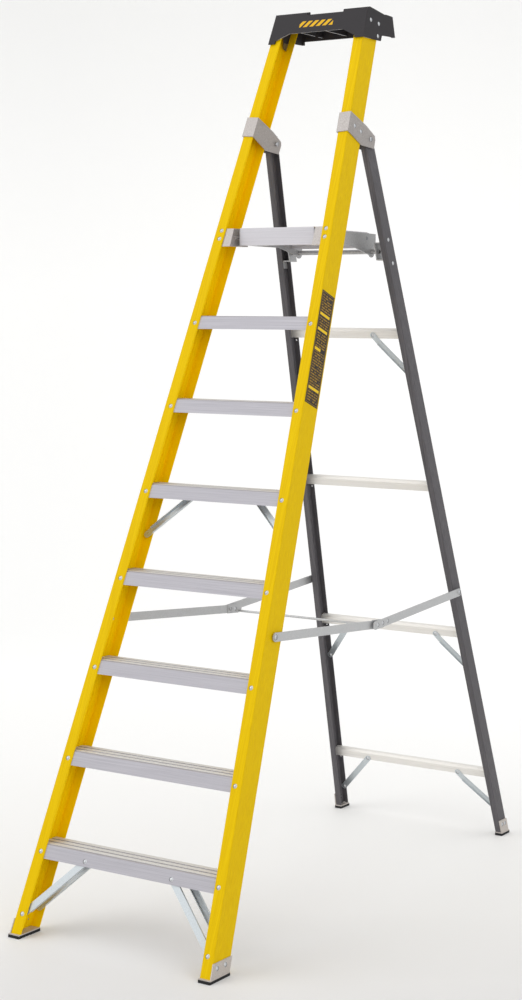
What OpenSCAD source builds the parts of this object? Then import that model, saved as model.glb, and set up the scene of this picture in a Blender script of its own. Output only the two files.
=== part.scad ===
// Platform step ladder: tapered front frame with treads, a platform and a tool-tray cap,
// a lighter rear frame hinged under the guard rail, and two folding spreaders.
// Millimetres. X runs across, +Y to the rear legs, Z up. The origin is on the floor at the middle.

/* [Front frame] */
// Height of the top of the tool tray
ladder_h = 2540; // [2525:1:2550]
// Outer width over the front rails at the floor
base_w = 643; // [635:1:650]
// Outer width over the front rails at the top of the ladder
top_w = 304.4; // [300:0.1:310]
// Depth over both frames at the floor, front face to back face
base_depth = 1697; // [1680:1:1710]
// Lean of the front frame from vertical
front_lean = 21.76; // [21.5:0.01:22]
// Depth of a front rail, square to its length
rail_d = 75.6; // [74:0.1:78]
// Flange width of a front rail
rail_b = 31.8; // [31:0.1:33]
// Wall of a front rail
rail_t = 3.8; // [3.5:0.1:4.2]

/* [Treads] */
// Rise from one tread to the next
tread_rise = 235; // [230:1:238]
// Height of a tread's front apron
tread_h = 34.7; // [32:0.1:38]
// Wall of a tread
tread_t = 2.6; // [2.2:0.1:3.2]
// Width of each raised band on a tread
band_w = 17; // [14:0.5:18]
// Height of each raised band
band_h = 2.2; // [1:0.1:2.4]

/* [Rear frame] */
// Lean of the rear frame from vertical
rear_lean = 17.44; // [17.3:0.01:17.6]
// Outer width over the rear legs at the floor
leg_base_w = 613.2; // [608:0.1:616]
// Outer width over the rear legs at the hinge
leg_top_w = 345.3; // [343:0.1:346]
// Depth of a rear leg, square to its length
leg_d = 45.9; // [45:0.1:47]
// Flange width of a rear leg
leg_b = 19.6; // [19:0.1:21]
// Wall of a rear leg
leg_t = 3.4; // [3:0.1:3.8]
// Height of the lowest rear bar's top edge
bar_z = 214.5; // [210:0.5:220]
// Rise from one rear bar to the next
bar_rise = 464.6; // [463:0.1:466]
// Face height of a rear bar
bar_h = 28; // [26:1:30]

/* [Hinge] */
// Height of the main hinge
hinge_z = 2157; // [2155:1:2159]
// Hinge axis behind a rear leg's front face, measured level
hinge_inset = 20; // [19:0.5:22]
// Radius of a hinge pin
hinge_pin_r = 5; // [4.5:0.5:6]
// Thickness of the hinge straps
strap_t = 3; // [2.5:0.1:3]
// Height of a hinge strap along the rail
strap_h = 65; // [62:1:68]

/* [Platform] */
// Height of the platform's nosing
platform_z = 1898; // [1896:1:1900]
// Width of the deck
deck_w = 249; // [246:1:250]
// Front face of the deck in Y
deck_y = -73.5; // [-75:0.5:-72]
// Height of the nosing's front face
nose_h = 49.6; // [48:0.1:51]
// Height of the cross tube that carries the platform
tube_z = 1838; // [1836:1:1840]
// Radius of the cross tube
tube_r = 7; // [6.5:0.5:7.5]

/* [Spreaders] */
// Height of the front pivots
pivot_z = 806.7; // [804:0.1:809]
// Position of the middle joint in Y
joint_y = 72; // [70:1:74]
// Height of the middle joint
joint_z = 766; // [764:1:770]
// Width of a link
link_w = 24; // [22:1:25]
// Thickness of a link
link_t = 3; // [2.5:0.1:3]

/* [Feet] */
// Thickness of a rubber pad
pad_t = 7.5; // [5:0.5:8]
// Thickness of a shoe
shoe_t = 3; // [2.5:0.1:3.5]
// Height of a front shoe's cheek
front_shoe_z = 46; // [42:1:48]
// Height of a rear shoe's cheek
rear_shoe_z = 50; // [48:1:56]

/* [Hidden] */
$fn = 32;

// Longer than anything on the ladder, for cutting tools
far = 3200;
// Running clearance round a pin, and the gap left between pieces that only lie side by side
running = 0.06;
gap = 0.3;
// Pieces per side and in total
tread_count = 7;
bar_count = 4;
// Rivet sizes: shank radius, hole radius, head radius and head height
shank_r = 2.4;
hole_r = 2.7;
head_r = 6.2;
head_h = 3;
dome_r = (head_r * head_r + head_h * head_h) / (2 * head_h);

// Slopes of the frames and of their tapering sides
front_slope = tan(front_lean);
rear_slope = tan(rear_lean);
front_taper = (base_w - top_w) / 2 / ladder_h;
rear_taper = (leg_base_w - leg_top_w) / 2 / hinge_z;
front_tilt = atan(front_taper);
rear_tilt = atan(rear_taper);
rail_lean = atan(front_slope * cos(front_tilt));
leg_lean = atan(rear_slope * cos(rear_tilt));
front_y0 = -base_depth / 2;
rail_dh = rail_d / cos(front_lean);
leg_dh = leg_d / cos(rear_lean);
rear_y0 = base_depth / 2 - leg_dh;
rail_top_z = ladder_h - 42;
leg_top_z = hinge_z + 25;
sole_z = pad_t + shoe_t;

// Level position of each frame's front face, and its half width, at a height
function front_y(z) = front_y0 + z * front_slope;
function rear_y(z) = rear_y0 - z * rear_slope;
function front_x(z) = base_w / 2 - z * front_taper;
function rear_x(z) = leg_base_w / 2 - z * rear_taper;
// Distance along a frame's face plane at which a point q behind that face has height z
function front_s(z, q) = (z + q * sin(front_lean)) / cos(front_lean);
function rear_s(z, q) = (z - q * sin(rear_lean)) / cos(rear_lean);

hinge_y = rear_y(hinge_z) + hinge_inset;
pivot_y = front_y(pivot_z) + rail_dh / 2 + 0.4;
rear_pivot_z = pivot_z - 3.7;
rear_pivot_y = rear_y(rear_pivot_z) + 18.5;
tube_y = rear_y(tube_z) + leg_dh / 2;

// Frames of reference. Children of these are in the plane of a frame's faces or along a rail.
module front_plane()
    translate([0, front_y0, 0])
        rotate([-front_lean, 0, 0])
            children();

module rear_plane()
    translate([0, rear_y0, 0])
        rotate([rear_lean, 0, 0])
            children();

module along_rail()
    translate([base_w / 2, front_y0, 0])
        rotate([0, -front_tilt, 0])
            rotate([-rail_lean, 0, 0])
                children();

module along_leg()
    translate([leg_base_w / 2, rear_y0, 0])
        rotate([0, -rear_tilt, 0])
            rotate([leg_lean, 0, 0])
                children();

module left_side()
    mirror([1, 0, 0])
        children();

module both_sides() {
    children();
    left_side()
        children();
}

// A prism between two heights, for trimming a piece level
module level_slab(low, high)
    translate([-far / 2, -far / 2, low])
        cube([far, far, high - low]);

// The tapering space between the two front rails' outer webs, drawn in by inset
module front_wedge(inset)
    translate([0, far / 2, 0])
        rotate([90, 0, 0])
            linear_extrude(far)
                polygon([
                    [-front_x(0) + inset, 0], [front_x(0) - inset, 0],
                    [front_x(ladder_h) - inset, ladder_h], [-front_x(ladder_h) + inset, ladder_h]
                ]);

// The same between the rear legs
module rear_wedge(inset)
    translate([0, far / 2, 0])
        rotate([90, 0, 0])
            linear_extrude(far)
                polygon([
                    [-rear_x(0) + inset, 0], [rear_x(0) - inset, 0],
                    [rear_x(hinge_z) - inset, hinge_z], [-rear_x(hinge_z) + inset, hinge_z]
                ]);

// A rectangle with round corners, made of squares and circles
module round_rect(w, h, r) {
    translate([r, 0])
        square([w - 2 * r, h]);
    translate([0, r])
        square([w, h - 2 * r]);
    for (x = [r, w - r], y = [r, h - r])
        translate([x, y])
            circle(r);
}

// C section with its web's outer face at x = 0 and its flanges pointing to -x
module c_section(depth, flange, wall, r, rib) {
    difference() {
        translate([-flange, 0])
            round_rect(flange, depth, r);
        translate([-flange - 1, wall])
            square([flange - wall + 1, depth - 2 * wall]);
    }
    for (y = [0.3, 0.7])
        translate([-wall - rib, depth * y - wall])
            square([rib + 0.5, 2 * wall]);
}

// Domed rivet whose head stands on z = 0 and whose shank runs down from it
module rivet(grip) {
    intersection() {
        translate([0, 0, head_h - dome_r])
            sphere(dome_r);
        cylinder(h = head_h + 1, r = head_r);
    }
    translate([0, 0, -grip])
        cylinder(h = grip + 0.1, r = shank_r);
}

// Hole for a rivet, open above the surface as well
module drill(grip, r = hole_r)
    translate([0, 0, -grip])
        cylinder(h = grip + 8, r = r);

// ---- Rivet places on the front frame. The child's z axis leaves the surface. ----
rail_rib = 1.2;
tread_rivet_in = 19.3;
tread_rivet_down = 19.4;

// On a rail's flange: q is 0 at the front and rail_d at the back
module flange_place(side, x, z, q) {
    in = (front_x(z) - x) * cos(front_tilt);
    level = (z + in * sin(front_tilt)) / cos(front_tilt);
    mirror([side < 0 ? 1 : 0, 0, 0])
        along_rail()
            translate([-in, q, (level + q * sin(rail_lean)) / cos(rail_lean)])
                rotate([q > 0 ? -90 : 90, 0, 0])
                    children();
}

module front_face_place(x, z, q)
    front_plane()
        translate([x, q, front_s(z, q)])
            rotate([90, 0, 0])
                children();

module front_back_place(x, z, q)
    front_plane()
        translate([x, q, front_s(z, q)])
            rotate([-90, 0, 0])
                children();

module tread_rivet_places()
    for (i = [1 : tread_count]) {
        z = i * tread_rise - tread_rivet_down;
        x = front_x(z) - tread_rivet_in;
        for (side = [-1, 1]) {
            flange_place(side, x, z, 0)
                children();
            flange_place(side, x, z, rail_d)
                children();
        }
    }

// Ends of the braces: half width and height at the tread end and at the rail end
lower_brace = [[140, 210.5], [299, 60]];
upper_brace = [[97, 1151], [236, 1031]];

// Children go to the aprons' faces, then to the flanges' faces
module brace_rivet_places()
    for (side = [-1, 1]) {
        front_face_place(side * lower_brace[0][0], lower_brace[0][1], tread_in)
            children(0);
        for (ends = [lower_brace, upper_brace]) {
            front_back_place(side * ends[0][0], ends[0][1], rail_d - tread_in)
                children(0);
            flange_place(side, ends[1][0], ends[1][1], rail_d)
                children(1);
        }
        flange_place(side, lower_brace[1][0], lower_brace[1][1], 0)
            children(1);
    }

module brace_drills()
    brace_rivet_places() {
        drill(brace_q - tread_in + brace_t + 1);
        drill(brace_q + brace_t + 1);
    }

hook_rivet_z = [1868, 1891.5];
module hook_rivet_places()
    for (side = [-1, 1], z = hook_rivet_z)
        flange_place(side, front_x(z) - tread_rivet_in, z, 0)
            children();

front_shoe_rivet_q = [20, 56];
front_shoe_rivet_z = 32;
module front_shoe_rivet_places()
    both_sides()
        for (q = front_shoe_rivet_q)
            translate([front_x(front_shoe_rivet_z), front_y(front_shoe_rivet_z) + q, front_shoe_rivet_z])
                rotate([0, 90 - front_tilt, 0])
                    children();

// ---- Front rails ----
module rail_right_blank()
    intersection() {
        along_rail()
            linear_extrude(far)
                c_section(rail_d, rail_b, rail_t, 2, rail_rib);
        level_slab(sole_z, rail_top_z);
    }

module rail_right() color([0.86, 0.68, 0.05])
    difference() {
        rail_right_blank();
        tread_rivet_places()
            drill(9);
        brace_drills();
        hook_rivet_places()
            drill(9);
        front_shoe_rivet_places()
            drill(9);
        cap_rivet_places()
            drill(14);
        hinge_rivet_places()
            drill(9);
        spreader_front_pivot()
            cylinder(h = 30, r = link_pin_r + running, center = true);
    }

module rail_left()
    left_side()
        rail_right();

// ---- Treads: folded channels between the webs, with raised bands on top ----
tread_in = rail_t + 1;
tread_in_h = tread_in / cos(front_lean);
tread_dh = rail_dh - 2 * tread_in_h;
function tread_front(z) = front_y(z) + tread_in_h;
function tread_back(z) = tread_front(z) + tread_dh;
band_pitch = (tread_dh - band_w - 6) / 2;

// Outline of one raised band on a deck whose flat is at top, left to right
function band(left, top) =
    [[left, top], [left, top + band_h], [left + band_w, top + band_h], [left + band_w, top]];

module tread_section(top) {
    low = top - tread_h;
    under = top - tread_t;
    left = tread_front(top) + 3;
    polygon(concat(
        [[tread_front(top), top]],
        band(left, top), band(left + band_pitch, top), band(left + 2 * band_pitch, top),
        [
            [tread_back(top), top], [tread_back(low), low], [tread_back(low) - tread_t, low],
            [tread_back(under) - tread_t, under], [tread_front(under) + tread_t, under],
            [tread_front(low) + tread_t, low], [tread_front(low), low]
        ]));
}

module tread(i) color([0.72, 0.71, 0.75])
    difference() {
        intersection() {
            translate([-far / 2, 0, 0])
                rotate([90, 0, 90])
                    linear_extrude(far)
                        tread_section(i * tread_rise - band_h);
            front_wedge(rail_t + 1.6);
        }
        tread_rivet_places()
            drill(9);
        brace_drills();
    }

// ---- Braces: shallow channels with round ends, in a frame's plane ----
brace_w = 19;
brace_t = 1.8;
brace_lip = 7;

// From end a to end b, each [x, s]; the web lies at y = 0 and the lips point along way (+1 or -1)
module brace(a, b, way) {
    run = [b[0] - a[0], b[1] - a[1]];
    length = norm(run);
    translate([a[0], 0, a[1]])
        rotate([0, -atan2(run[1], run[0]), 0])
            mirror([0, way < 0 ? 1 : 0, 0]) {
                rotate([-90, 0, 0]) {
                    cylinder(h = brace_t, r = brace_w / 2);
                    translate([length, 0, 0])
                        cylinder(h = brace_t, r = brace_w / 2);
                }
                translate([0, 0, -brace_w / 2])
                    cube([length, brace_t, brace_w]);
                for (z = [-brace_w / 2, brace_w / 2 - brace_t])
                    translate([brace_w, 0, z])
                        cube([length - 2 * brace_w, brace_lip, brace_t]);
            }
}

brace_q = tread_in + tread_t + 0.1;
module front_brace(ends, q, way, side) color([0.78, 0.81, 0.83])
    difference() {
        front_plane()
            translate([0, q, 0])
                brace(
                    [side * ends[0][0], front_s(ends[0][1], q)],
                    [side * ends[1][0], front_s(ends[1][1], q)], way);
        brace_drills();
    }

module lower_front_brace(side)
    front_brace(lower_brace, brace_q, 1, side);

module lower_rear_brace(side)
    front_brace(lower_brace, rail_d - brace_q, -1, side);

module upper_brace_piece(side)
    front_brace(upper_brace, rail_d - brace_q, -1, side);

module front_frame_rivets() color([0.8, 0.8, 0.82]) {
    tread_rivet_places()
        rivet(8);
    brace_rivet_places() {
        rivet(brace_q - tread_in + brace_t + 1);
        rivet(brace_q + brace_t + 1);
    }
    hook_rivet_places()
        rivet(8);
    front_shoe_rivet_places()
        translate([0, 0, shoe_t + gap])
            rivet(8);
    hinge_rivet_places()
        translate([0, 0, strap_t + gap])
            rivet(strap_t + gap + rail_t + 1.5);
    cap_rivet_places()
        rivet(cap_side + rail_t + 1.5);
}

// ---- Feet ----
// Footprint of a right front rail: a level slab cut from a solid bar along the rail
module front_foot_slab(low, high, grow)
    intersection() {
        translate([front_x(0) - rail_b - 1, front_y0 - grow, low])
            cube([rail_b + shoe_t + gap + 1, rail_dh + 3 + 2 * grow, high - low]);
        level_slab(low, high);
    }

module front_shoe_right() color([0.74, 0.73, 0.72])
    difference() {
        union() {
            front_foot_slab(pad_t, sole_z, 1);
            intersection() {
                along_rail()
                    translate([gap, -0.5, -40])
                        cube([shoe_t, rail_d + 1, 200]);
                level_slab(pad_t, front_shoe_z);
            }
        }
        front_shoe_rivet_places()
            drill(9);
    }

module front_pad_right() color([0.12, 0.12, 0.13])
    difference() {
        front_foot_slab(0, pad_t, 2);
        for (i = [1 : 5])
            translate([0, front_y0 + i * rail_dh / 6, -1])
                cube([far, 3, 2.2]);
    }

rear_shoe_rivet_q = [14, 32];
rear_shoe_rivet_z = 36;
module rear_shoe_rivet_places()
    both_sides()
        for (q = rear_shoe_rivet_q)
            translate([rear_x(rear_shoe_rivet_z), rear_y(rear_shoe_rivet_z) + q, rear_shoe_rivet_z])
                rotate([0, 90 - rear_tilt, 0])
                    children();

module rear_foot_slab(low, high, grow)
    translate([rear_x(0) - leg_b - 1, rear_y0 - 3 - grow, low])
        cube([leg_b + shoe_t + gap + 1, leg_dh + 3 + 2 * grow, high - low]);

module rear_shoe_right() color([0.74, 0.73, 0.72])
    difference() {
        union() {
            rear_foot_slab(pad_t, sole_z, 1);
            intersection() {
                along_leg()
                    translate([gap, -0.5, -40])
                        cube([shoe_t, leg_d + 1, 200]);
                level_slab(pad_t, rear_shoe_z);
            }
        }
        rear_shoe_rivet_places()
            drill(9);
    }

module rear_pad_right() color([0.12, 0.12, 0.13])
    difference() {
        rear_foot_slab(0, pad_t, 2);
        for (i = [1 : 3])
            translate([0, rear_y0 + i * leg_dh / 4, -1])
                cube([far, 3, 2.2]);
    }

// ---- Hinge brackets: straps folded round the rails, with tails that carry the rear legs ----
strap_low = 2337.5;
strap_back = 146;
strap_mid = strap_low + strap_h / 2 + 2;
inner_cheek_x = -rail_b - gap - strap_t;

module cheek_outline()
    polygon([
        [-strap_t, strap_low + 4], [-strap_t, strap_low + strap_h],
        [88, strap_low + strap_h - 1], [140, strap_low + strap_h - 8],
        [strap_back, strap_low + strap_h - 18], [strap_back, strap_low + 19], [78, strap_low - 2]
    ]);

module cheek(x)
    translate([x, 0, 0])
        rotate([90, 0, 90])
            linear_extrude(strap_t)
                cheek_outline();

hinge_rivet_q = [29.4, 65.2];
module hinge_rivet_places()
    both_sides()
        along_rail()
            for (q = hinge_rivet_q)
                translate([0, q, strap_mid])
                    rotate([0, 90, 0])
                        children();

module hinge_axis_right()
    translate([front_x(hinge_z), hinge_y, hinge_z])
        rotate([0, 90, 0])
            children();

module hinge_bracket_right() color([0.66, 0.66, 0.68])
    difference() {
        along_rail() {
            cheek(gap);
            cheek(inner_cheek_x);
            translate([inner_cheek_x, -strap_t - 0.1, strap_low + 4])
                cube([gap + strap_t - inner_cheek_x, strap_t, strap_h - 4]);
        }
        hinge_axis_right()
            cylinder(h = 120, r = hinge_pin_r + running, center = true);
        hinge_rivet_places()
            drill(8);
    }

// Each pin runs from outside the outer cheek to inside the inner one, with a head at both ends
module hinge_pins() color([0.62, 0.62, 0.64])
    both_sides()
        hinge_axis_right() {
            translate([0, 0, -rail_b - 8])
                cylinder(h = rail_b + 16, r = hinge_pin_r);
            translate([0, 0, strap_t + 1.4])
                cylinder(h = 3.6, r1 = hinge_pin_r + 2, r2 = hinge_pin_r);
            translate([0, 0, -rail_b - 10.5])
                cylinder(h = 3, r1 = hinge_pin_r, r2 = hinge_pin_r + 2);
        }

// Bushes fixed in the legs' heads: they turn on the pins between the cheeks
bush_out = front_x(hinge_z) - 2;
bush_in = front_x(hinge_z) - rail_b + 3;
module hinge_bushes() color([0.6, 0.6, 0.62])
    both_sides()
        translate([bush_in, hinge_y, hinge_z])
            rotate([0, 90, 0])
                difference() {
                    cylinder(h = bush_out - bush_in, r = hinge_pin_r + 3);
                    translate([0, 0, -1])
                        cylinder(h = bush_out - bush_in + 2, r = hinge_pin_r + running);
                }

// ---- Tool-tray cap ----
cap_wall = 4;
cap_side = 4.5;
cap_low = ladder_h - 90;
cap_front = 158;
cap_back = 314;
cap_lean = 0.38;
back_cut_x = 152;
back_cut_h = 30;
tray_floor = ladder_h - 26;
notch = [-48, 77];

// Side view of the cap, drawn in by inset; the lip behind the rails is shorter than the skirt
function cap_front_y(z) = cap_front - (ladder_h - z) * cap_lean;
cap_step_y = cap_back - 52;
module cap_side_outline(inset, bottom)
    polygon([
        [cap_front_y(ladder_h - inset) + inset, ladder_h - inset], [cap_front + 15, ladder_h + 3 - inset],
        [cap_step_y, ladder_h - 10 - inset], [cap_step_y + 4, ladder_h - 8 - inset],
        [cap_back - 9 - inset, ladder_h - 9.5 - inset], [cap_back - inset, bottom + 20],
        [cap_back - 42, bottom + 19], [cap_back - 78, bottom + 17], [cap_back - 86, bottom],
        [cap_front_y(bottom) + inset, bottom]
    ]);

// Bar across the ladder with that side view, between the tapering skirts
module cap_bar(inset, bottom, side)
    intersection() {
        translate([-far / 2, 0, 0])
            rotate([90, 0, 90])
                linear_extrude(far)
                    cap_side_outline(inset, bottom);
        front_wedge_tall(side);
    }

// Wedge between the skirts' faces that also reaches above the ladder's top
module front_wedge_tall(out)
    translate([0, far / 2, 0])
        rotate([90, 0, 0])
            linear_extrude(far)
                polygon([
                    [-front_x(0) - out, 0], [front_x(0) + out, 0],
                    [front_x(far) + out, far], [-front_x(far) - out, far]
                ]);

// The inside of the cap: everything under the tray floor
module cap_hollow()
    intersection() {
        cap_bar(cap_wall, cap_low - 40, gap);
        level_slab(0, tray_floor - cap_wall);
    }

module tray_pocket() {
    deep = cap_back - cap_front - 44;
    translate([-front_x(ladder_h) + 9, cap_front + 19, tray_floor])
        linear_extrude(60)
            round_rect(2 * front_x(ladder_h) - 18, deep, 10);
}

module tray_holes() {
    for (x = [-110, -84, -58])
        translate([x, cap_back - 44, 0])
            cylinder(h = far, r = 9);
    translate([40, cap_front + 62, 0])
        cylinder(h = far, r = 22);
    translate([88, cap_front + 38, 0])
        linear_extrude(far)
            round_rect(26, 52, 6);
}

// Low arch cut through the front wall between the rails
module front_arch()
    translate([0, cap_front + 12, 0])
        rotate([90, 0, 0])
            linear_extrude(60)
                polygon([
                    [-140, cap_low - 60], [-140, cap_low + 9], [-95, cap_low + 28],
                    [88, cap_low + 28], [132, cap_low + 7], [140, cap_low - 60]
                ]);

// Tapering tongues that reach down inside the rails' channels, under the tray
tongue_t = 2.5;
tongue_in = 14;
tongue_q = [28, 66];
tongue_tip = 50;
module cap_tongues() {
    low = cap_low / cos(rail_lean) + tongue_tip * tan(rail_lean);
    both_sides()
        intersection() {
            along_rail()
                translate([-tongue_in, 0, 0])
                    rotate([90, 0, 90])
                        linear_extrude(tongue_t)
                            polygon([
                                [tongue_q[0], low + 200], [tongue_q[0], low + 40], [tongue_tip, low],
                                [tongue_q[1], low], [tongue_q[1], low + 200]
                            ]);
            level_slab(cap_low - 40, tray_floor - 1);
        }
}

// The back wall ends higher than the sides
module back_cut()
    translate([-back_cut_x, cap_back - 16, cap_low - 1])
        cube([2 * back_cut_x, 40, back_cut_h + 1]);

module cap_ribs()
    intersection() {
        for (x = [-84, 0, 84])
            translate([x - 1.5, cap_front + 6, cap_low + 36])
                cube([3, cap_back - cap_front - 12, 24]);
        cap_bar(cap_wall / 2, cap_low, gap);
        level_slab(cap_low + 36, tray_floor - 1);
    }

// Places on the skirts: [y, z]
cap_rivet_yz = [[176, 2505], [221, 2499], [212, 2462]];
module cap_rivet_places()
    both_sides()
        for (p = cap_rivet_yz)
            translate([front_x(p[1]) + cap_side, p[0], p[1]])
                rotate([0, 90 - front_tilt, 0])
                    children();

module top_cap() color([0.2, 0.2, 0.21])
    difference() {
        union() {
            difference() {
                cap_bar(0, cap_low, cap_side);
                cap_hollow();
                front_arch();
            }
            cap_ribs();
            cap_tongues();
        }
        tray_pocket();
        tray_holes();
        back_cut();
        translate([notch[0], cap_front - 20, ladder_h - 7.5])
            cube([notch[1] - notch[0], 60, 40]);
        cap_rivet_places()
            drill(14);
    }

// ---- Platform brackets: plates behind the front flanges, folded back to a ledge for the deck ----
hook_q = tread_in + 0.2;
hook_t = 3;
hook_x = 141;
hook_ledge_in = 118;
hook_ledge_y = -76;
hook_back_y = -43;
hook_top = platform_z - 1;
ledge_top = platform_z - nose_h - gap;
hook_low = ledge_top - hook_t;
bead_r = 5;

module platform_hook_right() color([0.72, 0.71, 0.72])
    difference() {
        union() {
            intersection() {
                front_plane()
                    translate([0, hook_q, 0])
                        cube([far, hook_t, far]);
                level_slab(hook_low, hook_top);
                front_wedge(rail_t + 1.6);
                translate([hook_x - hook_t, -far / 2, 0])
                    cube([far, far, far]);
            }
            translate([hook_x - hook_t, 0, 0])
                rotate([90, 0, 90])
                    linear_extrude(hook_t)
                        polygon([
                            [front_y(hook_low) + 7, hook_low], [front_y(hook_top) + 7, hook_top],
                            [hook_back_y, hook_top], [hook_back_y, hook_low]
                        ]);
            translate([hook_ledge_in, hook_ledge_y, hook_low])
                cube([hook_x - hook_ledge_in - 1, hook_back_y - hook_ledge_y, hook_t]);
            translate([hook_x - hook_t + 0.5, hook_ledge_y - 4, platform_z - nose_h / 2 - 4])
                rotate([-90, 0, 0])
                    cylinder(h = hook_back_y - hook_ledge_y, r = bead_r);
        }
        translate([hook_x, -far / 2, 0])
            translate([0, hook_ledge_y + far / 2 - 4, 0])
                cube([20, far, far]);
        hook_rivet_places()
            drill(12);
    }

// ---- Spreaders ----
link_pin_r = 4;
front_link_x = front_x(pivot_z) + 3.5;
front_joint_x = 250;
rear_link_x = rear_x(rear_pivot_z) + 6.2;
rear_joint_x = 259.5;
front_link_tail = 60;
rear_link_tail = 24;

module spreader_front_pivot()
    both_sides()
        translate([front_x(pivot_z), pivot_y, pivot_z])
            rotate([0, 90, 0])
                children();

module spreader_rear_pivot()
    both_sides()
        translate([rear_x(rear_pivot_z), rear_pivot_y, rear_pivot_z])
            rotate([0, 90, 0])
                children();

// Flat link along +Y from its pivot at the origin, x from 0 to its thickness. It bows in by
// swing towards its far end; its pivot hole stays square to the ladder.
module link(length, tail, swing)
    difference() {
        rotate([0, 0, swing]) {
            translate([0, 0, -link_w / 2])
                cube([link_t, length + tail, link_w]);
            for (y = [0, length + tail])
                translate([0, y, 0])
                    rotate([0, 90, 0])
                        cylinder(h = link_t, r = link_w / 2);
        }
        rotate([0, 90, 0])
            cylinder(h = 20, r = link_pin_r + running, center = true);
    }

front_run = [joint_y - pivot_y, joint_z - pivot_z];
rear_run = [rear_pivot_y - joint_y, rear_pivot_z - joint_z];
front_offset = front_link_x - front_x(pivot_z);
rear_offset = rear_link_x - rear_x(rear_pivot_z);
front_swing = atan((front_link_x - front_joint_x) / norm(front_run));
rear_swing = atan((rear_link_x - rear_joint_x) / norm(rear_run));

module front_link_frame()
    translate([front_link_x, pivot_y, pivot_z])
        rotate([atan2(front_run[1], front_run[0]), 0, 0])
            children();

module rear_link_frame()
    translate([rear_link_x, rear_pivot_y, rear_pivot_z])
        rotate([atan2(rear_run[1], rear_run[0]), 0, 0])
            mirror([0, 1, 0])
                children();

// The cross rod runs through both front links near their ends, below their middle
rod_r = 3.5;
rod_along = 48.5;
rod_down = 7.5;
rod_half = front_joint_x - rod_along * tan(front_swing) + link_t + 2;
module rod_axis()
    front_link_frame()
        translate([-front_link_x, norm(front_run) + rod_along, -rod_down])
            rotate([0, 90, 0])
                children();

// A doubler stiffens the front link's joint end on the inside
doubler_s = [-12, 40];
doubler_t = 2;
module spreader_front_right() color([0.66, 0.67, 0.68])
    difference() {
        front_link_frame() {
            link(norm(front_run), front_link_tail - link_w / 2, front_swing);
            rotate([0, 0, front_swing])
                translate([-doubler_t, norm(front_run) + doubler_s[0], -link_w / 2 - 1])
                    cube([doubler_t + 1, doubler_s[1] - doubler_s[0], link_w + 2]);
        }
        doubler_rivet_places()
            drill(link_t + doubler_t + 1);
        rod_axis()
            cylinder(h = far, r = rod_r);
        front_joint_axis()
            cylinder(h = 20, r = shank_r, center = true);
    }

module spreader_rod() color([0.74, 0.75, 0.76])
    rod_axis()
        cylinder(h = 2 * rod_half, r = rod_r, center = true);

module front_joint_axis()
    front_link_frame()
        translate([front_joint_x - front_link_x, norm(front_run), 0])
            rotate([0, 90, 0])
                children();

doubler_rivet_s = 25;
module doubler_rivet_places()
    front_link_frame()
        rotate([0, 0, front_swing])
            translate([-doubler_t, norm(front_run) + doubler_rivet_s, 0])
                rotate([0, -90, 0])
                    children();

// Stud of the middle joint, riveted into the front links; it ends short of the rear links
module spreader_studs() color([0.8, 0.8, 0.82])
    both_sides() {
        front_joint_axis() {
            translate([0, 0, -doubler_t - 2])
                cylinder(h = link_t + doubler_t + 4.5, r = shank_r);
            translate([0, 0, -doubler_t - 3.2])
                cylinder(h = 2.6, r1 = link_pin_r, r2 = link_pin_r + 1.5);
            translate([0, 0, link_t + 0.5])
                cylinder(h = 4, r = link_pin_r + 2);
        }
        doubler_rivet_places()
            rivet(link_t + doubler_t);
    }

rear_rivet_s = [0, -27.5, -55];
module rear_link_rivet_places()
    both_sides()
        rear_link_frame()
            rotate([0, 0, rear_swing])
                for (s = rear_rivet_s)
                    translate([link_t, norm(rear_run) + s, 0])
                        rotate([0, 90, 0])
                            children();

module spreader_rear_right() color([0.66, 0.67, 0.68])
    difference() {
        rear_link_frame()
            link(norm(rear_run), rear_link_tail - link_w / 2, rear_swing);
        rear_link_rivet_places()
            drill(9);
    }

module spreader_rear_rivets() color([0.8, 0.8, 0.82])
    rear_link_rivet_places()
        rivet(link_t);

// Pivot pins of both link pairs, fixed in the rails and the legs
module spreader_front_pins()
    spreader_front_pivot() {
        translate([0, 0, -rail_t - 2.5])
            cylinder(h = rail_t + 2.5 + front_offset + link_t + 2, r = link_pin_r);
        translate([0, 0, 0.6])
            cylinder(h = front_offset - 1, r = link_pin_r + 3);
        translate([0, 0, front_offset + link_t + 0.5])
            cylinder(h = 3.4, r1 = link_pin_r + 3.5, r2 = link_pin_r + 1);
    }

// ---- Rear legs ----
module rear_leg_right() color([0.24, 0.24, 0.25])
    difference() {
        intersection() {
            along_leg()
                linear_extrude(far)
                    c_section(leg_d, leg_b, leg_t, 1.8, 0.8);
            level_slab(sole_z, leg_top_z);
        }
        hinge_axis_right()
            cylinder(h = 120, r = hinge_pin_r + 3 + gap / 3, center = true);
        rear_shoe_rivet_places()
            drill(9);
        bar_rivet_places()
            drill(7);
        rear_brace_rivet_places()
            drill(7);
        leg_bracket_rivet_places()
            drill(9);
        spreader_rear_pivot()
            cylinder(h = 30, r = link_pin_r + running, center = true);
    }

// ---- Rear bars: channels with a sloping upper lip, inside the legs ----
bar_q = 25;
bar_d = leg_d - leg_t - 0.8 - bar_q;
bar_t = 2;
bar_lip = 6;
function bar_top(i) = bar_z + (i - 1) * bar_rise;

module bar_section()
    polygon([
        [0, -bar_lip], [bar_lip, 0], [bar_d, 0], [bar_d, -bar_t], [bar_lip + bar_t / 2, -bar_t],
        [bar_t, -bar_lip - bar_t / 2], [bar_t, -bar_h + bar_t], [bar_d, -bar_h + bar_t],
        [bar_d, -bar_h], [0, -bar_h]
    ]);

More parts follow.
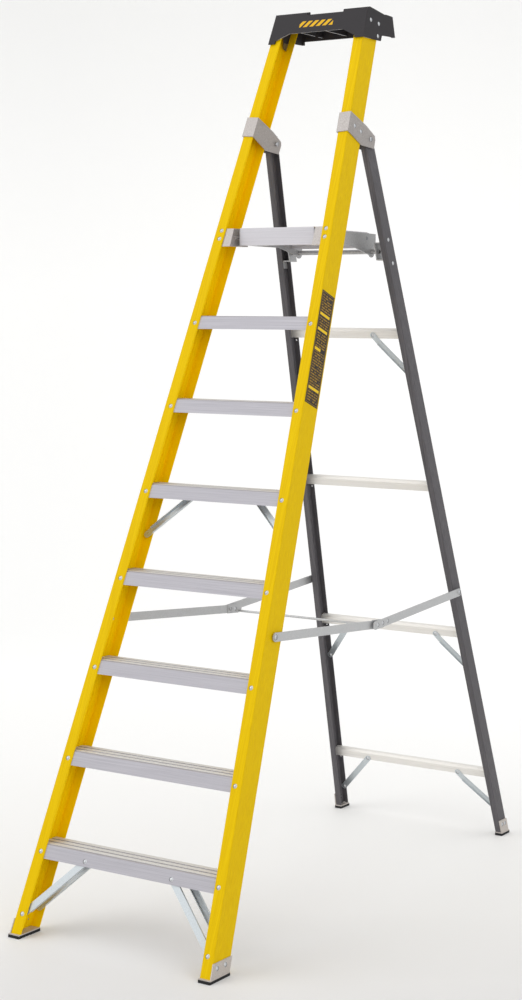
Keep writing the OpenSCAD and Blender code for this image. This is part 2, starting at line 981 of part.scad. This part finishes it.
module rear_bar(i) color([0.8, 0.79, 0.77])
    difference() {
        intersection() {
            rear_plane()
                translate([-far / 2, bar_q, rear_s(bar_top(i), bar_q)])
                    rotate([90, 0, 90])
                        linear_extrude(far)
                            bar_section();
            rear_wedge(leg_t + 1.2);
        }
        bar_rivet_places()
            drill(9);
        rear_brace_rivet_places()
            drill(30);
    }

// Rivets in each leg's back flange, beside the ends of the bars
module rear_back_place(x, z)
    rear_plane()
        translate([x, leg_d, rear_s(z, leg_d)])
            rotate([-90, 0, 0])
                children();

module bar_rivet_places()
    for (side = [-1, 1], i = [1 : bar_count]) {
        z = bar_top(i) - bar_h - 6;
        rear_back_place(side * (rear_x(z) - leg_b / 2 - 1), z)
            children();
    }

// Rear braces: strips from a bar's face to a leg's back flange. Each end is given as
// [inward from the leg's outer face, down from the bar's top edge].
rear_brace_bars = [1, 2, 4];
rear_brace_top = [[129, 22], [108.5, 22], [0, 0], [117.7, 17]];
rear_brace_low = [[13.3, 142], [13.3, 138.5], [0, 0], [13.3, 148]];
rear_brace_w = 18.4;
lip_depth = 4.5;
bar_tab = 22;
leg_tab = 12;
brace_face_q = bar_q - 0.1;
brace_back_q = leg_d - leg_t - 0.6;
function brace_point(i, end) =
    let (z = bar_top(i) - end[1])
    [rear_x(z) - end[0], z];

module rear_face_place(x, z, q)
    rear_plane()
        translate([x, q, rear_s(z, q)])
            rotate([90, 0, 0])
                children();

module rear_brace_rivet_places()
    for (side = [-1, 1], i = rear_brace_bars) {
        a = brace_point(i, rear_brace_top[i - 1]);
        b = brace_point(i, rear_brace_low[i - 1]);
        rear_face_place(side * a[0], a[1], brace_face_q - brace_t)
            children();
        rear_face_place(side * b[0], b[1], brace_back_q - brace_t)
            children();
    }

// Strip along +X from a disc at the origin to a disc at [length, set], flat at both ends
module bent_strip(length, set) {
    bend = [bar_tab, length - leg_tab];
    lip = [bar_tab + 6, length - 2 * leg_tab];
    rise = set / (bend[1] - bend[0]);
    translate([0, 0, -rear_brace_w / 2])
        linear_extrude(rear_brace_w)
            polygon([
                [0, 0], [bend[0], 0], [bend[1], set], [length, set],
                [length, set - brace_t], [bend[1], set - brace_t], [bend[0], -brace_t], [0, -brace_t]
            ]);
    for (z = [-rear_brace_w / 2, rear_brace_w / 2 - brace_t])
        translate([0, 0, z])
            linear_extrude(brace_t)
                polygon([
                    for (x = lip) [x, (x - bend[0]) * rise - brace_t / 2],
                    for (x = [lip[1], lip[0]]) [x, (x - bend[0]) * rise - lip_depth]
                ]);
    for (p = [[0, 0], [length, set]])
        translate([p[0], p[1], 0])
            rotate([90, 0, 0])
                cylinder(h = brace_t, r = rear_brace_w / 2 + 0.3);
}

module rear_brace(i, side) color([0.76, 0.8, 0.82]) {
    a = brace_point(i, rear_brace_top[i - 1]);
    b = brace_point(i, rear_brace_low[i - 1]);
    run = [a[0] - b[0], rear_s(a[1], brace_face_q) - rear_s(b[1], brace_back_q)];
    difference() {
        mirror([side < 0 ? 1 : 0, 0, 0])
            rear_plane()
                translate([a[0], brace_face_q, rear_s(a[1], brace_face_q)])
                    rotate([0, atan2(run[1], -run[0]), 0])
                        bent_strip(norm(run), brace_back_q - brace_face_q);
        rear_brace_rivet_places()
            drill(9);
    }
}

// ---- Leg brackets and cross tube under the platform ----
bracket_face_x = 150;
bracket_t = 3;
bracket_half = 26;
bracket_tab = 20;
bracket_q = [leg_t + 1, leg_d - leg_t - 1];
bracket_rivet_dz = 34;

module leg_bracket_rivet_places()
    both_sides()
        for (way = [-1, 1]) {
            z = tube_z + way * bracket_rivet_dz;
            translate([rear_x(z), rear_y(z) + leg_dh / 2, z])
                rotate([0, 90 - rear_tilt, 0])
                    children();
        }

module leg_bracket_right() color([0.6, 0.6, 0.6])
    difference() {
        intersection() {
            rear_plane()
                translate([0, bracket_q[0], 0])
                    cube([far, bracket_q[1] - bracket_q[0], far]);
            difference() {
                union() {
                    intersection() {
                        level_slab(tube_z - bracket_half, tube_z + bracket_half);
                        rear_wedge(leg_t + 1.2);
                    }
                    intersection() {
                        level_slab(tube_z - bracket_half - bracket_tab, tube_z + bracket_half + bracket_tab);
                        rear_wedge(leg_t + 1.2);
                        translate([rear_x(tube_z) - 3 * bracket_t - 2, -far / 2, 0])
                            cube([far, far, far]);
                    }
                }
                intersection() {
                    level_slab(tube_z - bracket_half + bracket_t, tube_z + bracket_half - bracket_t);
                    translate([bracket_face_x + bracket_t, -far / 2, 0])
                        cube([far, far, far]);
                }
                difference() {
                    rear_wedge(leg_t + 1.2 + bracket_t);
                    level_slab(tube_z - bracket_half, tube_z + bracket_half);
                }
            }
            translate([bracket_face_x, -far / 2, 0])
                cube([far, far, far]);
        }
        tube_axis()
            cylinder(h = far, r = tube_r + 0.02, center = true);
        leg_bracket_rivet_places()
            drill(12);
    }

module tube_axis()
    translate([0, tube_y, tube_z])
        rotate([0, 90, 0])
            children();

module platform_tube() color([0.74, 0.74, 0.74])
    tube_axis()
        difference() {
            cylinder(h = 2 * bracket_face_x + 2 * bracket_t + 4, r = tube_r, center = true);
            cylinder(h = far, r = tube_r - 1.5, center = true);
        }

module spreader_rear_pins()
    spreader_rear_pivot() {
        translate([0, 0, -leg_t - 2.5])
            cylinder(h = leg_t + 2.5 + rear_offset + link_t + 1.5, r = link_pin_r);
        translate([0, 0, 0.8])
            cylinder(h = rear_offset - 1.3, r = link_pin_r + 3);
        translate([0, 0, rear_offset + link_t + 0.5])
            cylinder(h = 3.4, r1 = link_pin_r + 3.5, r2 = link_pin_r + 1);
    }

module rear_frame_rivets() color([0.78, 0.78, 0.8]) {
    rear_shoe_rivet_places()
        translate([0, 0, shoe_t + gap])
            rivet(8);
    rear_brace_rivet_places()
        rivet(5.5);
    leg_bracket_rivet_places()
        rivet(8);
    spreader_rear_pins();
}

// ---- Platform ----
deck_top = platform_z - 5;
deck_t = 3;
deck_back = 236;
beam_d = 30;
side_t = 3;
side_back = 270;
ear_r = 17;

module deck_section()
    difference() {
        union() {
            translate([deck_y, platform_z - nose_h])
                square([beam_d, nose_h]);
            translate([deck_y, deck_top - deck_t])
                square([deck_back - deck_y, deck_t]);
            for (i = [0 : 16])
                translate([deck_y + beam_d + 6 + i * 16, deck_top - 1])
                    square([8, 2.6]);
            translate([deck_back - beam_d, platform_z - nose_h])
                square([beam_d, deck_top - platform_z + nose_h]);
        }
        translate([deck_y + deck_t, platform_z - nose_h + deck_t])
            square([beam_d - 2 * deck_t, nose_h - 2 * deck_t]);
        translate([deck_back - beam_d + deck_t, platform_z - nose_h + deck_t])
            square([beam_d - 2 * deck_t, deck_top - platform_z + nose_h - 2 * deck_t]);
        for (i = [1 : 5])
            translate([deck_y - 0.7, platform_z - i * nose_h / 6 - 0.8])
                square([1.4, 1.6]);
    }

module platform_deck() color([0.77, 0.77, 0.79])
    difference() {
        rotate([90, 0, 90])
            linear_extrude(deck_w, center = true)
                deck_section();
        tube_axis()
            cylinder(h = far, r = tube_r + 1, center = true);
    }

module side_outline()
    polygon([
        [deck_y + 1, platform_z - nose_h + 1], [deck_y + 1, platform_z - 6],
        [side_back, platform_z - 7], [side_back, tube_z + 26], [tube_y + 12, tube_z],
        [tube_y, tube_z - 12], [tube_y - 12, tube_z - 10], [tube_y - 110, platform_z - nose_h + 1]
    ]);

module platform_side_right() color([0.6, 0.6, 0.62])
    difference() {
        union() {
            translate([deck_w / 2 + 0.1, 0, 0])
                rotate([90, 0, 90])
                    linear_extrude(side_t)
                        side_outline();
            tube_axis()
                translate([0, 0, deck_w / 2 + 0.1])
                    cylinder(h = side_t, r = ear_r);
        }
        tube_axis()
            cylinder(h = far, r = tube_r + running, center = true);
        platform_rivet_places()
            drill(9);
    }

platform_rivet_yz = [[deck_y + 14, 1874], [60, 1884], [218, 1876]];
module platform_rivet_places()
    both_sides()
        for (p = platform_rivet_yz)
            translate([deck_w / 2 + 0.1 + side_t, p[0], p[1]])
                rotate([0, 90, 0])
                    children();

module platform_rivets() color([0.78, 0.78, 0.8])
    platform_rivet_places() {
        cylinder(h = 1.8, r = 4.5);
        translate([0, 0, -side_t])
            cylinder(h = side_t + 0.1, r = shank_r);
    }

// ---- Label on the right rail: its lowest edge along the rail, its length and its depth ----
label_s = 1530;
label_size = [0.3, 65, 328];
module rail_label() color([0.16, 0.15, 0.1])
    along_rail()
        translate([0.05, 4.8, label_s])
            cube(label_size);

// ---- The spreaders' pins on the front rails ----
module spreader_pins() color([0.7, 0.7, 0.72])
    spreader_front_pins();

rail_left();
rail_right();
for (i = [1 : tread_count])
    tread(i);
front_frame_rivets();
top_cap();
left_side() hinge_bracket_right();  // hinge_bracket_left
hinge_bracket_right();
hinge_pins();
left_side() platform_hook_right();  // platform_hook_left
platform_hook_right();
lower_front_brace(-1);  // lower_front_brace_left
lower_front_brace(1);  // lower_front_brace_right
lower_rear_brace(-1);  // lower_rear_brace_left
lower_rear_brace(1);  // lower_rear_brace_right
upper_brace_piece(-1);  // upper_brace_left
upper_brace_piece(1);  // upper_brace_right
left_side() front_shoe_right();  // front_shoe_left
front_shoe_right();
left_side() front_pad_right();  // front_pad_left
front_pad_right();
rail_label();
left_side() rear_leg_right();  // rear_leg_left
rear_leg_right();
for (i = [1 : bar_count])
    rear_bar(i);
rear_frame_rivets();
for (i = rear_brace_bars) {
    rear_brace(i, -1);
    rear_brace(i, 1);
}
left_side() rear_shoe_right();  // rear_shoe_left
rear_shoe_right();
left_side() rear_pad_right();  // rear_pad_left
rear_pad_right();
left_side() leg_bracket_right();  // leg_bracket_left
leg_bracket_right();
platform_tube();
hinge_bushes();
left_side() spreader_front_right();  // spreader_front_left
spreader_front_right();
spreader_rod();
spreader_studs();
left_side() spreader_rear_right();  // spreader_rear_left
spreader_rear_right();
spreader_rear_rivets();
spreader_pins();
platform_deck();
left_side() platform_side_right();  // platform_side_left
platform_side_right();
platform_rivets();
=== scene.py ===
import math

import bpy
from mathutils import Matrix, Vector

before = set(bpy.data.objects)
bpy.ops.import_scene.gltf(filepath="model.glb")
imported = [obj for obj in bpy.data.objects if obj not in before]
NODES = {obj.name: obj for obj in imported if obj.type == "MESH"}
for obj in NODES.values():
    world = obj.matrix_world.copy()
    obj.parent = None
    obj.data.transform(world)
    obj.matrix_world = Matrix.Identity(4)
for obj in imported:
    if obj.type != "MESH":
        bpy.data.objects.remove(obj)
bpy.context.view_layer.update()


# ---------------------------------------------------------------- materials


def srgb(r, g, b):
    """Linear colour from 0-255 display values."""

    def linear(v):
        v /= 255
        return v / 12.92 if v <= 0.04045 else ((v + 0.055) / 1.055) ** 2.4

    return (linear(r), linear(g), linear(b), 1.0)


class Graph:
    """A material whose nodes are added one by one."""

    def __init__(self, name):
        self.material = bpy.data.materials.new(name)
        self.material.use_nodes = True
        self.tree = self.material.node_tree
        self.shader = self.tree.nodes["Principled BSDF"]

    def add(self, kind, inputs=None, **settings):
        node = self.tree.nodes.new(kind)
        for key, value in settings.items():
            setattr(node, key, value)
        for key, value in (inputs or {}).items():
            if isinstance(value, bpy.types.NodeSocket):
                self.tree.links.new(value, node.inputs[key])
            else:
                node.inputs[key].default_value = value
        return node

    def link(self, output, socket):
        self.tree.links.new(output, self.shader.inputs[socket])

    def coords(self, scale, turn=(0, 0, 0)):
        """Object coordinates, turned so that the grain's direction is an axis, then scaled."""
        place = self.add("ShaderNodeTexCoord").outputs["Object"]
        turned = self.add("ShaderNodeMapping", {"Vector": place, "Rotation": turn}).outputs[0]
        return self.add("ShaderNodeMapping", {"Vector": turned, "Scale": scale}).outputs[0]

    def noise(self, scale, turn=(0, 0, 0), detail=4.0, rough=0.6):
        where = self.coords(scale, turn)
        inputs = {"Vector": where, "Scale": 1.0, "Detail": detail, "Roughness": rough}
        return self.add("ShaderNodeTexNoise", inputs).outputs["Fac"]

    def ramp(self, value, low, high, start=0.0, end=1.0):
        inputs = {"Value": value, "From Min": low, "From Max": high, "To Min": start, "To Max": end}
        return self.add("ShaderNodeMapRange", inputs).outputs[0]

    def math(self, operation, *values):
        return self.add("ShaderNodeMath", dict(enumerate(values)), operation=operation).outputs[0]

    def close(self, value, centre, reach):
        """1 where the value is within reach of the centre."""
        return self.math("COMPARE", value, centre, reach)

    def place(self):
        """The point's own X, Y and Z."""
        where = self.add("ShaderNodeTexCoord").outputs["Object"]
        return self.add("ShaderNodeSeparateXYZ", {0: where}).outputs

    def facing(self, axis):
        """How far the surface faces along +X, +Y or +Z."""
        normal = self.add("ShaderNodeNewGeometry").outputs["Normal"]
        return self.add("ShaderNodeSeparateXYZ", {0: normal}).outputs[axis]

    def mix(self, amount, a, b):
        node = self.add("ShaderNodeMix", data_type="RGBA")
        for socket, value in (("Factor", amount), (6, a), (7, b)):
            if isinstance(value, bpy.types.NodeSocket):
                self.tree.links.new(value, node.inputs[socket])
            else:
                node.inputs[socket].default_value = value
        return node.outputs[2]

    def edges(self, radius):
        """1 on convex and concave edges, 0 on flats."""
        soft = self.add("ShaderNodeBevel", {"Radius": radius}, samples=4).outputs[0]
        hard = self.add("ShaderNodeNewGeometry").outputs["Normal"]
        dot = self.add("ShaderNodeVectorMath", {0: soft, 1: hard}, operation="DOT_PRODUCT").outputs["Value"]
        return self.ramp(dot, 1.0, 0.85)


WORN_RADIUS = 0.0012
RELIEF_DEPTH = 0.0004


def finish(name, base, light, dark, rough, metal=0.0, grain=(60, 60, 60), turn=(0, 0, 0), bump=0.15,
           wear=0.35, gloss=0.5, spot=(3, 3, 3), detail=None):
    """Grained surface: fine grain along one direction, broad tone changes and worn edges."""
    g = Graph(name)
    fine = g.noise(grain, turn, 5.0, 0.65)
    broad = g.noise(spot, (0.3, 0.5, 0.2), 3.0, 0.5)
    speck = g.noise((420, 420, 420), (0, 0, 0), 2.0, 0.5)
    tone = g.mix(g.ramp(fine, 0.35, 0.65), dark, light)
    body = g.mix(g.ramp(broad, 0.3, 0.7, 0.25, 0.75), base, tone)
    worn = g.mix(g.ramp(g.edges(WORN_RADIUS), 0.0, 1.0, 0.0, wear), body, light)
    g.link(detail(g, worn) if detail else worn, "Base Color")
    g.shader.inputs["Metallic"].default_value = metal
    g.link(g.ramp(fine, 0.3, 0.7, max(rough - 0.08, 0.05), min(rough + 0.1, 1.0)), "Roughness")
    g.shader.inputs["Specular IOR Level"].default_value = gloss
    height = g.add("ShaderNodeMath", {0: fine, 1: speck}, operation="ADD").outputs[0]
    relief = g.add("ShaderNodeBump", {"Height": height, "Strength": bump, "Distance": RELIEF_DEPTH})
    g.link(relief.outputs[0], "Normal")
    return g.material


# Grooves of the treads: a tread's raised bands stand at whole multiples of the rise
RISE = 0.235
BAND_LOW = 0.0008
FLOOR_HIGH = 0.0018


def tread_top_painted_light(g, colour):
    """Up-facing skin painted paler than the sides as painted light, with pale raised bands and, as painted
    shade, darker and warmer floors between them.
    """
    height = g.place()[2]
    turns = g.math("MULTIPLY", height, 1 / RISE)
    off = g.math("SUBTRACT", turns, g.math("ROUND", turns))
    floor = g.ramp(off, -BAND_LOW / RISE, -FLOOR_HIGH / RISE)
    # Painted shade on the groove floors between the pale raised bands
    top = g.mix(floor, srgb(212, 209, 203), srgb(174, 166, 154))
    # Painted light: up-facing faces are painted paler than the sides
    return g.mix(g.ramp(g.facing(2), 0.6, 0.9), colour, top)


# Tray cap, in metres: (centre, half size) of each zone along one axis
BAR_PITCH = 0.022
MARK_X = (-0.008, 0.057)
MARK_Z = (2.504, 0.009)
FRONT_WALL_Y = (0.15, 0.012)
ARCH_Y = (0.15, 0.02)
RIB_EDGE_Z = (2.486, 0.002)
TONGUE_X = (0.1485, 0.005)
TONGUE_Y = (0.2, 0.035)


def cap_detail(g, colour):
    """Slanted bars on the front face, painted highlights on the lower edges of the ribs and under the front
    arch, and greyish-brown tongues.
    """
    x, y, z = g.place()
    slant = g.math("FRACT", g.math("MULTIPLY", g.math("SUBTRACT", x, z), 1 / BAR_PITCH))
    bars = g.close(slant, 0.5, 0.3)
    field = g.math("MULTIPLY", g.close(x, *MARK_X), g.close(z, *MARK_Z))
    front = g.ramp(g.facing(1), -0.8, -0.85)
    outer = g.math("MULTIPLY", front, g.close(y, *FRONT_WALL_Y))
    marked = g.mix(g.math("MULTIPLY", g.math("MULTIPLY", bars, field), outer), colour, srgb(226, 176, 20))
    # Painted highlight: down-facing faces at the ribs' lower edges, and more faintly under the front arch,
    # are painted pale
    low = g.ramp(g.facing(2), -0.6, -0.8)
    ribs = g.math("MULTIPLY", low, g.close(z, *RIB_EDGE_Z))
    arch = g.math("MULTIPLY", low, g.close(y, *ARCH_Y))
    with_painted_highlights = g.mix(g.math("MAXIMUM", ribs, g.math("MULTIPLY", arch, 0.6)), marked, srgb(200, 200, 204))
    # The tongues are painted greyish brown
    tongue = g.math("MULTIPLY", g.close(g.math("ABSOLUTE", x), *TONGUE_X), g.close(y, *TONGUE_Y))
    return g.mix(tongue, with_painted_highlights, srgb(112, 98, 62))


RAIL_LEAN = math.radians(21.76)
LEG_LEAN = math.radians(17.44)
RAIL_FOOT_Y = -0.8485


def warm_inside(g, colour):
    """Inner faces of the rails' webs and back flanges, warmed by light thrown back inside."""
    x, y, z = g.place()
    outward = g.math("MULTIPLY", g.facing(0), g.math("SIGN", x))
    web = g.ramp(outward, -0.75, -0.9, 0.0, 0.9)
    lean = g.math("MULTIPLY", z, math.tan(RAIL_LEAN))
    behind = g.math("SUBTRACT", g.math("SUBTRACT", y, RAIL_FOOT_Y), lean)
    flange = g.math("MULTIPLY", g.ramp(g.facing(1), -0.75, -0.85), g.ramp(behind, 0.04, 0.05))
    return g.mix(g.math("MAXIMUM", web, flange), colour, srgb(255, 212, 0))


def dark_rim(g, colour):
    """Domed heads mirror the dark side of the room at their rims."""
    facing = g.add("ShaderNodeLayerWeight", {"Blend": 0.5}).outputs["Facing"]
    return g.mix(g.ramp(facing, 0.3, 0.65), colour, srgb(66, 69, 75))


RAIL_TURN = (RAIL_LEAN, 0, 0)
LEG_TURN = (-LEG_LEAN, 0, 0)
yellow = finish("yellow_fibreglass", srgb(229, 191, 2), srgb(238, 204, 16), srgb(210, 167, 0), 0.45,
                grain=(700, 700, 6), turn=RAIL_TURN, bump=0.25, wear=0.15, gloss=0.05, detail=warm_inside)
charcoal = finish("charcoal_fibreglass", srgb(88, 86, 89), srgb(118, 115, 119), srgb(65, 63, 66), 0.5,
                  grain=(700, 700, 6), turn=LEG_TURN, bump=0.25, wear=0.25, gloss=0.2)
tread_metal = finish("tread_aluminium", srgb(180, 178, 185), srgb(200, 198, 204), srgb(158, 156, 163), 0.5,
                     metal=0.1, grain=(5, 800, 800), bump=0.2, gloss=0.25, detail=tread_top_painted_light)
deck_metal = finish("deck_aluminium", srgb(208, 206, 211), srgb(222, 220, 225), srgb(186, 184, 190), 0.45,
                    metal=0.35, grain=(5, 800, 800), bump=0.2)
bar_metal = finish("bar_aluminium", srgb(235, 232, 227), srgb(245, 243, 239), srgb(214, 211, 206), 0.5,
                   metal=0.35, grain=(5, 800, 800), bump=0.2)
brace_metal = finish("brace_aluminium", srgb(200, 207, 211), srgb(213, 219, 222), srgb(184, 191, 195), 0.4,
                     metal=0.6, grain=(300, 300, 300), bump=0.15)
shoe_metal = finish("shoe_aluminium", srgb(198, 190, 184), srgb(216, 210, 204), srgb(172, 164, 158), 0.5,
                    metal=0.4, grain=(300, 300, 300), bump=0.15)
zinc = finish("zinc_steel", srgb(176, 176, 177), srgb(200, 200, 200), srgb(148, 148, 150), 0.42,
              metal=0.6, grain=(220, 220, 220), bump=0.12, spot=(25, 25, 25))
link_steel = finish("spreader_steel", srgb(193, 194, 195), srgb(204, 205, 206), srgb(178, 179, 181), 0.42,
                    metal=0.6, grain=(220, 220, 220), bump=0.12, spot=(25, 25, 25))
warm_zinc = finish("hinge_steel", srgb(172, 166, 163), srgb(194, 190, 186), srgb(146, 139, 136), 0.45,
                   metal=0.6, grain=(220, 220, 220), bump=0.12, spot=(25, 25, 25))
rivet_metal = finish("rivet_steel", srgb(204, 206, 209), srgb(226, 228, 230), srgb(172, 175, 179), 0.35,
                     metal=0.75, grain=(500, 500, 500), bump=0.1, detail=dark_rim)
plastic = finish("cap_plastic", srgb(44, 41, 44), srgb(60, 57, 60), srgb(34, 32, 34), 0.6,
                 grain=(900, 900, 900), bump=0.35, wear=0.3, gloss=0.3, detail=cap_detail)
rubber = finish("foot_rubber", srgb(34, 34, 36), srgb(50, 50, 52), srgb(24, 24, 26), 0.8,
                grain=(500, 500, 500), bump=0.4, wear=0.2, gloss=0.3)

# Label: plain bars as (place down the label, length), both as shares of its size
BARS = ((0.203, 0.76), (0.339, 0.76), (0.514, 0.46), (0.859, 0.82))
LABEL_WIDTH = 0.065
LABEL_HEIGHT = 0.328
ROWS = 44.0
DASHES = 11.0


def label_print(obj):
    """Dark panel with rows of short dashes, a few ruled bars and a thin border."""
    corners = [vertex.co.copy() for vertex in obj.data.vertices]
    start = min(corners, key=lambda c: c.y)
    width = min(((c - start) for c in corners), key=lambda e: abs(e.length - LABEL_WIDTH))
    height = min(((c - start) for c in corners), key=lambda e: abs(e.length - LABEL_HEIGHT))
    g = Graph("label")
    where = g.add("ShaderNodeTexCoord").outputs["Object"]
    local = g.add("ShaderNodeVectorMath", {0: where, 1: start}, operation="SUBTRACT").outputs[0]

    def along(edge):
        unit = edge / edge.length_squared
        return g.add("ShaderNodeVectorMath", {0: local, 1: unit}, operation="DOT_PRODUCT").outputs["Value"]

    across = along(width)
    down = g.math("SUBTRACT", 1.0, along(height))
    rows = g.math("MULTIPLY", down, ROWS)
    dashes = g.math("MULTIPLY", across, DASHES)
    spot = g.add("ShaderNodeCombineXYZ", {0: dashes, 1: g.math("FLOOR", rows)})
    noise = g.add("ShaderNodeTexNoise", {"Vector": spot.outputs[0], "Scale": 1.3, "Detail": 1.0})
    words = noise.outputs["Fac"]
    text = g.math("MULTIPLY", g.close(g.math("FRACT", rows), 0.5, 0.26), g.ramp(words, 0.43, 0.49))
    text = g.math("MULTIPLY", text, g.close(across, 0.5, 0.39))
    text = g.math("MULTIPLY", text, g.close(down, 0.5, 0.475))
    bar = None
    for centre, length in BARS:
        clear = g.math("SUBTRACT", 1.0, g.close(down, centre, 0.019))
        text = g.math("MULTIPLY", text, clear)
        one = g.math("MULTIPLY", g.close(down, centre, 0.0125), g.close(across, 0.1 + length / 2, length / 2))
        bar = one if bar is None else g.math("MAXIMUM", bar, one)
    inside = g.math("MULTIPLY", g.close(across, 0.5, 0.46), g.close(down, 0.5, 0.492))
    inner = g.math("MULTIPLY", g.close(across, 0.5, 0.43), g.close(down, 0.5, 0.486))
    line = g.math("SUBTRACT", inside, inner)
    grain = g.noise((300, 300, 300))
    panel = g.mix(g.ramp(grain, 0.3, 0.7), srgb(40, 35, 33), srgb(54, 48, 44))
    ink = g.mix(text, panel, srgb(160, 124, 34))
    ink = g.mix(line, ink, srgb(130, 102, 40))
    g.link(g.mix(bar, ink, srgb(236, 196, 30)), "Base Color")
    g.shader.inputs["Roughness"].default_value = 0.45
    g.shader.inputs["Specular IOR Level"].default_value = 0.2
    return g.material


print_mat = label_print(NODES["rail_label"])


def material_for(name):
    """The finish of a node, from its name."""
    if name == "rail_label":
        return print_mat
    if name.startswith("rail"):
        return yellow
    if name.startswith("rear_leg"):
        return charcoal
    if any(word in name for word in ("rivets", "pins", "studs", "bushes")):
        return rivet_metal
    if name == "top_cap":
        return plastic
    if "pad" in name:
        return rubber
    if name == "platform_deck":
        return deck_metal
    if name.startswith("tread"):
        return tread_metal
    if name.startswith("rear_bar"):
        return bar_metal
    if "shoe" in name:
        return shoe_metal
    if name.startswith(("hinge", "platform_hook")):
        return warm_zinc
    if name.startswith("spreader"):
        return link_steel
    if name.startswith(("leg_bracket", "platform_tube", "platform_side")):
        return zinc
    return brace_metal


MOULDED_EDGE = 0.0012
METAL_EDGE = 0.0005


def round_edges(obj, width):
    bevel = obj.modifiers.new("soft_edges", "BEVEL")
    bevel.width = width
    bevel.segments = 2
    bevel.limit_method = "ANGLE"
    bevel.angle_limit = math.radians(40)


for name, obj in NODES.items():
    obj.data.materials.clear()
    obj.data.materials.append(material_for(name))
    if name != "rail_label":
        round_edges(obj, MOULDED_EDGE if name == "top_cap" else METAL_EDGE)

# ---------------------------------------------------------------- studio


def mesh_object(name, points, faces, material):
    mesh = bpy.data.meshes.new(name)
    mesh.from_pydata(points, [], faces)
    obj = bpy.data.objects.new(name, mesh)
    bpy.context.collection.objects.link(obj)
    mesh.materials.append(material)
    return obj


YAW = math.radians(33.28)
PITCH = math.radians(-2.63)
ROLL = math.radians(0.434)


# Backdrop, in metres: the floor's near edge, the sweep's start and radius, the wall's top, half width
NEAR_EDGE = -9.0
SWEEP_START = 4.5
SWEEP_RADIUS = 2.5
SWEEP_STEPS = 24
WALL_TOP = 9.0
HALF_WIDTH = 14.0


def backdrop():
    """Floor that sweeps up into a wall square to the camera's line of sight, open from behind; painted light
    makes it darker near the camera and paler and faintly glowing further away.
    """
    profile = [(NEAR_EDGE, 0.0)]
    for i in range(SWEEP_STEPS + 1):
        a = math.radians(i * 90 / SWEEP_STEPS)
        y = SWEEP_START + SWEEP_RADIUS * math.sin(a)
        profile.append((y, SWEEP_RADIUS - SWEEP_RADIUS * math.cos(a)))
    profile.append((SWEEP_START + SWEEP_RADIUS, WALL_TOP))
    points = [(x, y, z) for y, z in profile for x in (-HALF_WIDTH, HALF_WIDTH)]
    faces = [(2 * i, 2 * i + 1, 2 * i + 3, 2 * i + 2) for i in range(len(profile) - 1)]
    g = Graph("studio_floor")
    tone = g.ramp(g.noise((1.5, 1.5, 1.5)), 0.3, 0.7)
    # Painted light: the floor is painted darker near the camera and paler further away
    near = g.mix(tone, srgb(222, 221, 220), srgb(226, 225, 224))
    x, y, z = g.place()
    floor = g.mix(g.ramp(y, -1.0, -0.3), near, srgb(239, 238, 236))
    away = g.ramp(y, -0.3, 3.2)
    g.link(g.mix(away, floor, srgb(246, 246, 245)), "Base Color")
    # Painted light: the far floor and the wall glow faintly, more low down and to the right, though they are
    # no lamp
    painted_glow = g.math("ADD", g.ramp(z, 3.6, 1.8, 0.0, 0.09), g.ramp(x, -1.4, 0.8, 0.0, 0.06))
    g.shader.inputs["Emission Color"].default_value = (1, 1, 1, 1)
    g.link(g.math("MULTIPLY", away, painted_glow), "Emission Strength")
    g.shader.inputs["Roughness"].default_value = 0.6
    g.shader.inputs["Specular IOR Level"].default_value = 0.2
    clear = g.add("ShaderNodeBsdfTransparent").outputs[0]
    behind = g.add("ShaderNodeNewGeometry").outputs["Backfacing"]
    one_sided = g.add("ShaderNodeMixShader", {0: behind, 1: g.shader.outputs[0], 2: clear}).outputs[0]
    g.tree.links.new(one_sided, g.tree.nodes["Material Output"].inputs["Surface"])
    obj = mesh_object("backdrop", points, faces, g.material)
    for face in obj.data.polygons:
        face.use_smooth = True
    obj.rotation_euler = (0, 0, YAW)


def area_light(name, place, target, size, power):
    light = bpy.data.lights.new(name, "AREA")
    light.shape = "RECTANGLE"
    light.size, light.size_y = size
    light.energy = power
    obj = bpy.data.objects.new(name, light)
    bpy.context.collection.objects.link(obj)
    obj.location = place
    obj.rotation_euler = (Vector(target) - Vector(place)).to_track_quat("-Z", "Y").to_euler()


backdrop()
area_light("key", (-4.2, -5.0, 5.6), (0, 0, 1.2), (6.0, 6.0), 186)
area_light("fill", (5.3, -3.4, 3.0), (0, 0, 1.2), (5.0, 5.0), 58)
area_light("top", (0.5, 0.5, 6.5), (0, 0, 0), (6.0, 6.0), 66)

bpy.context.scene.view_settings.view_transform = "Standard"
world = bpy.data.worlds.new("studio")
world.use_nodes = True
world.node_tree.nodes["Background"].inputs[0].default_value = (1, 1, 1, 1)
world.node_tree.nodes["Background"].inputs[1].default_value = 0.75
bpy.context.scene.world = world

# ---------------------------------------------------------------- camera

CAMERA_PLACE = (2.9523, -4.6401, 1.6323)

camera = bpy.data.cameras.new("camera")
camera.sensor_fit = "AUTO"
camera.sensor_width = 36
camera.lens = 68.59
camera.shift_x = -0.0009
camera.shift_y = -0.0917
camera.clip_end = 60
camera.dof.use_dof = False
ahead = Vector((-math.sin(YAW) * math.cos(PITCH), math.cos(YAW) * math.cos(PITCH), math.sin(PITCH)))
level = Vector((math.cos(YAW), math.sin(YAW), 0))
above = level.cross(ahead)
right = math.cos(ROLL) * level + math.sin(ROLL) * above
up = -math.sin(ROLL) * level + math.cos(ROLL) * above
turn = Matrix((right, up, -ahead)).transposed()
camera_object = bpy.data.objects.new("camera", camera)
bpy.context.collection.objects.link(camera_object)
camera_object.matrix_world = Matrix.Translation(CAMERA_PLACE) @ turn.to_4x4()
bpy.context.scene.camera = camera_object
